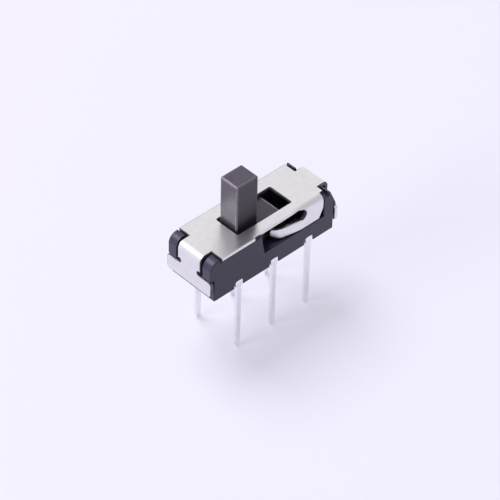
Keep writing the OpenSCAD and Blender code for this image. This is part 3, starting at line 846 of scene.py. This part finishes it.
# %% Terminals: two rows of three
terminals = {}
for row, turn in (("back", 0), ("front", math.pi)):
    for column, x in zip(("left", "centre", "right"), COLUMNS):
        select_only(terminal)
        bpy.ops.object.duplicate(linked=False)
        copy = bpy.context.object
        copy.name = copy.data.name = f"pin_{row}_{column}"
        copy.rotation_euler.z = turn
        copy.location.x = x * MM
        bpy.ops.object.transform_apply(location=True, rotation=True, scale=True)
        terminals[f"terminal_{row}_{column}"] = copy
bpy.data.objects.remove(terminal)
print("terminals:", sorted(terminals))

# %% [markdown]
# ## Putting the pieces on their bodies
#
# The new pieces stand for their CAD nodes, which are hidden. The two contact clips inside are seen only if
# the switch is opened, and their CAD shape is right. They could be modelled again too, but nobody would see
# a difference, so they stay and only get their finish.

# %% Ride, replace, finish
def dress(piece, body, node, slot, *finishes):
    for finish in finishes:
        piece.data.materials.append(finish)
    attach(piece, body)
    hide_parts(node)


dress(housing, "base", "housing", "housing", housing_plastic)
dress(cover, "base", "cover", "cover")
dress(slider, "slider", "slider", "slider")
for node, piece in terminals.items():
    dress(piece, "base", node, "terminal", tinned_strip)
for node in ("contact_clip_front", "contact_clip_back"):
    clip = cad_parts[node]
    for material_slot in clip.material_slots:
        material_slot.material = spring_strip

# %% [markdown]
# ## Floor and light
#
# The switch stands on its pins on a pale sheet of paper. Metal mirrors its surroundings, and black plastic
# shows little else, so these matter as much as the lamps. A brighter lamp could lift the paper, but it would
# bleach the switch as well. So the paper glows for camera, mirror and glass rays only, and the sky is much
# brighter for these rays than for the light that it sheds.

# %% Light helpers
def calculate(tree, operation, first, second):
    return add_node(tree, "Math", {0: first, 1: second}, operation=operation).outputs[0]


def seen_share(tree):
    """One for rays from the camera, from mirrors and through glass, and nought for the rest."""
    path = add_node(tree, "LightPath", {})
    share = path.outputs["Is Camera Ray"]
    for kind in ("Is Glossy Ray", "Is Transmission Ray"):
        share = calculate(tree, "MAXIMUM", share, path.outputs[kind])
    return share


print("light helpers ready")

# %% Floor
PAPER, PAPER_GLOW = (0.37, 0.36, 0.41), (0.45, 0.436, 0.52)
PAPER_ROUGH, PAPER_SPECULAR = 0.9, 0.1
PAPER_R, PAPER_SIDES = 0.45, 96

object_mode()
bpy.ops.mesh.primitive_circle_add(vertices=PAPER_SIDES, radius=PAPER_R, fill_type="NGON",
                                  location=(0, 0, cad_low.z))
floor = bpy.context.object
floor.name = floor.data.name = "floor"
paper = bpy.data.materials.new("paper")
paper.use_nodes = True
paper_inputs = {"Base Color": (*PAPER, 1), "Roughness": PAPER_ROUGH, "Specular IOR Level": PAPER_SPECULAR,
                "Emission Color": (*PAPER_GLOW, 1), "Emission Strength": seen_share(paper.node_tree)}
for name, value in paper_inputs.items():
    feed(paper.node_tree, paper.node_tree.nodes["Principled BSDF"].inputs[name], value)
floor.data.materials.append(paper)
print("floor lies at", round(cad_low.z / MM, 2), "mm")

# %% [markdown]
# The sky gives a weak light from all round, weakest from the front right, where the room is taken to be dark.
# A picture of a whole room could be wrapped round the scene, but one smooth step from pale to dark is all
# that the reflections in the cover and the lever show.

# %% Sky
SKY_SEEN, SKY_LIGHT, SKY_STRENGTH = (0.99, 0.97, 1.0), (0.95, 0.94, 1.0), 0.36
DARK_SIDE, DARK_SHARE = (0.517, -0.529, 0.673), 0.66
DARK_START, DARK_WHOLE = 0.35, 0.95

world = bpy.data.worlds.new("sky")
bpy.context.scene.world = world
world.use_nodes = True
sky = world.node_tree
sky.nodes.clear()
direction = add_node(sky, "TexCoord", {}).outputs["Generated"]
towards = add_node(sky, "VectorMath", {0: direction, 1: DARK_SIDE}, operation="DOT_PRODUCT").outputs["Value"]
shade_inputs = {"Value": towards, "From Min": DARK_START, "From Max": DARK_WHOLE,
                "To Min": 1, "To Max": DARK_SHARE}
shade = add_node(sky, "MapRange", shade_inputs, interpolation_type="SMOOTHSTEP").outputs["Result"]
camera_ray = add_node(sky, "LightPath", {}).outputs["Is Camera Ray"]
seen_strength = calculate(sky, "MAXIMUM", shade, camera_ray)
light_strength = calculate(sky, "MULTIPLY", shade, SKY_STRENGTH)
seen = add_node(sky, "Background", {"Color": (*SKY_SEEN, 1), "Strength": seen_strength})
light = add_node(sky, "Background", {"Color": (*SKY_LIGHT, 1), "Strength": light_strength})
mixed = add_node(sky, "MixShader", {"Fac": seen_share(sky), 1: light.outputs[0], 2: seen.outputs[0]})
add_node(sky, "OutputWorld", {"Surface": mixed.outputs[0]})
print("sky nodes:", len(sky.nodes))

# %% [markdown]
# A soft box behind the switch and above it throws the shadow forwards, and a lamp at the left brightens the
# faces on that side. Mirrored in the cover, either would come out as a white patch, so both are hidden from
# mirror rays. A third, weaker lamp, behind and to the left, shows in reflections only and gives the cover and
# the lever their soft sheen.

# %% Lamps
def soft_lamp(name, direction, distance, size, watts):
    """A square lamp in some direction from the switch, turned towards it."""
    lamp = bpy.data.lights.new(name, "AREA")
    lamp.shape = "SQUARE"
    lamp.size = size
    lamp.energy = watts
    stand = bpy.data.objects.new(name, lamp)
    stand.location = Vector(direction).normalized() * distance
    stand.rotation_euler = (-stand.location).to_track_quat("-Z", "Y").to_euler()
    bpy.context.scene.collection.objects.link(stand)
    return stand


key = soft_lamp("key", direction=(-0.05, 0.50, 0.86), distance=0.5, size=0.29, watts=2.2)
key.visible_glossy = False
sheen = soft_lamp("sheen", direction=(-0.42, 0.46, 0.78), distance=0.45, size=0.26, watts=0.85)
sheen.visible_diffuse = False
left_lamp = soft_lamp("side", direction=(-0.95, 0.15, 0.28), distance=0.5, size=0.25, watts=2.3)
left_lamp.visible_glossy = False
bpy.context.scene.view_settings.view_transform = "Standard"

# %% [markdown]
# ## Last step
#
# The dressed model has to keep the CAD model's size.

# %% Leave edit mode
object_mode()
